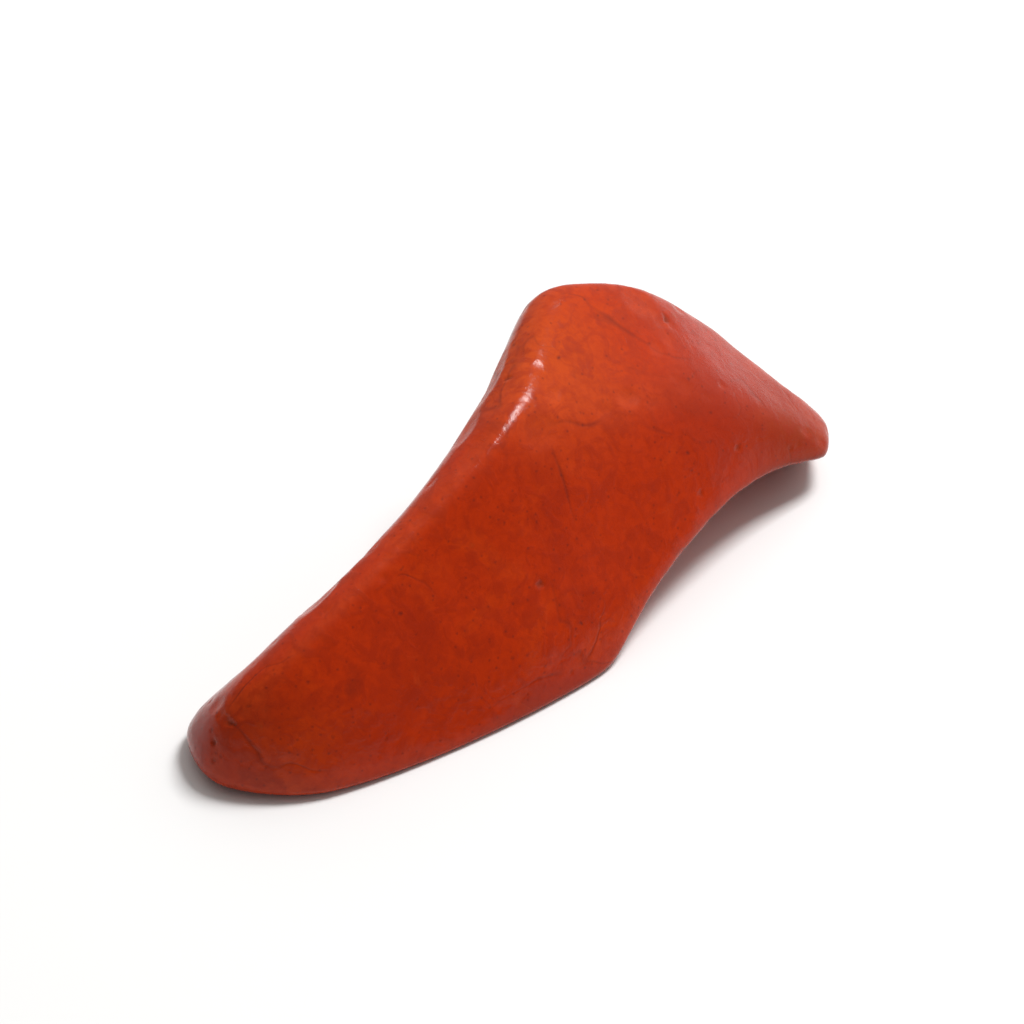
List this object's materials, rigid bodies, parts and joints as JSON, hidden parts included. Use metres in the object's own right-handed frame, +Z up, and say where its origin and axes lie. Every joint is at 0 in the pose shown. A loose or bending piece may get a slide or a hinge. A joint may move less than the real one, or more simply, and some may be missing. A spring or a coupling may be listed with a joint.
{
  "type": "red jasper",
  "caption": "Small tumbled chip of red jasper: a polished fin-shaped flake with soft edges, a hooked tip and a scooped end, lying on a flat broken face.",
  "frame": {"origin": "under the middle of the chip, on the surface that it lies on", "axes": "+X from the blunt nose towards the hooked tip, +Y away from the broad front face, +Z up from the flat underside"},
  "size_m": [0.0126, 0.0112, 0.0051],
  "materials": {
    "red_jasper": "tumbled to a waxy polish, brick red with darker and more orange clouds"
  },
  "bodies": {
    "root": {"jasper_chip": "red_jasper"}
  },
  "joints": []
}
